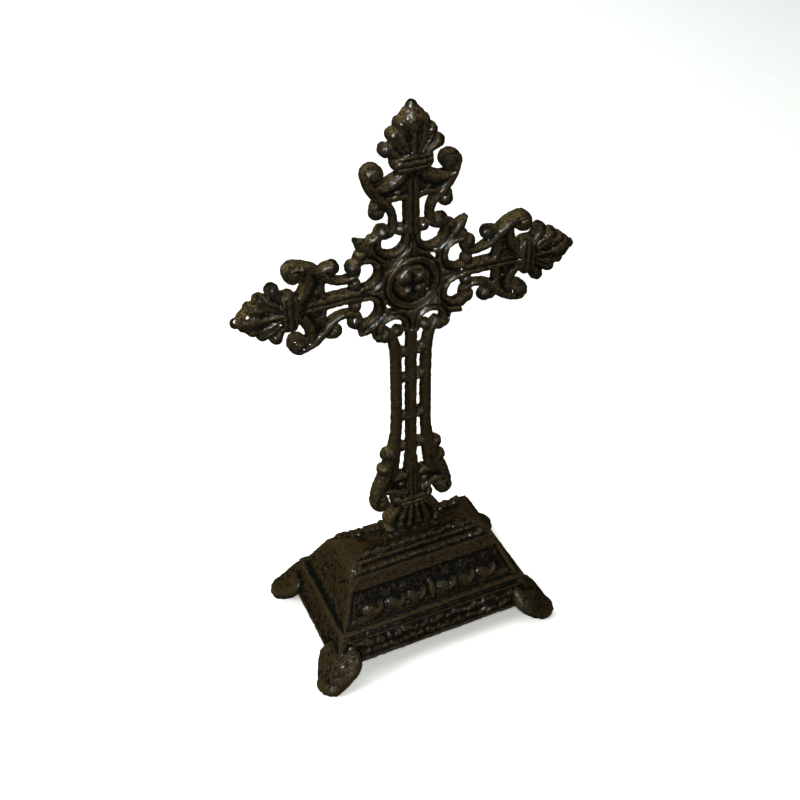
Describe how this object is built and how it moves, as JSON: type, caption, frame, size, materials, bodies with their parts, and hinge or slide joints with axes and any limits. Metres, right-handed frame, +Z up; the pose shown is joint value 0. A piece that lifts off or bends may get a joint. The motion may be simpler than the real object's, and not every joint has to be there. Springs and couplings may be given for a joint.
{
  "type": "altar cross",
  "caption": "Tabletop Latin cross of openwork scroll and leaf castings with leaf finials, bolted onto a hollow stepped plinth with a paw foot at each corner.",
  "frame": {"origin": "centre of the four soles, on the surface the plinth stands on", "axes": "+Z up along the shaft, -Y out of the cross's front, +X to the right seen from the front"},
  "size_m": [0.173, 0.0924, 0.305],
  "materials": {
    "cross_iron": "sand-cast iron under a dark brown lacquer, rubbed lighter on the high edges",
    "plinth_iron": "sand-cast iron under a dark brown lacquer, pitted",
    "fixing_steel": "dull zinc plate"
  },
  "bodies": {
    "root": {"cross_casting": "cross_iron", "base_casting": "plinth_iron", "fixing_screw": "fixing_steel", "flat_washer": "fixing_steel", "spring_washer": "fixing_steel"}
  },
  "joints": []
}
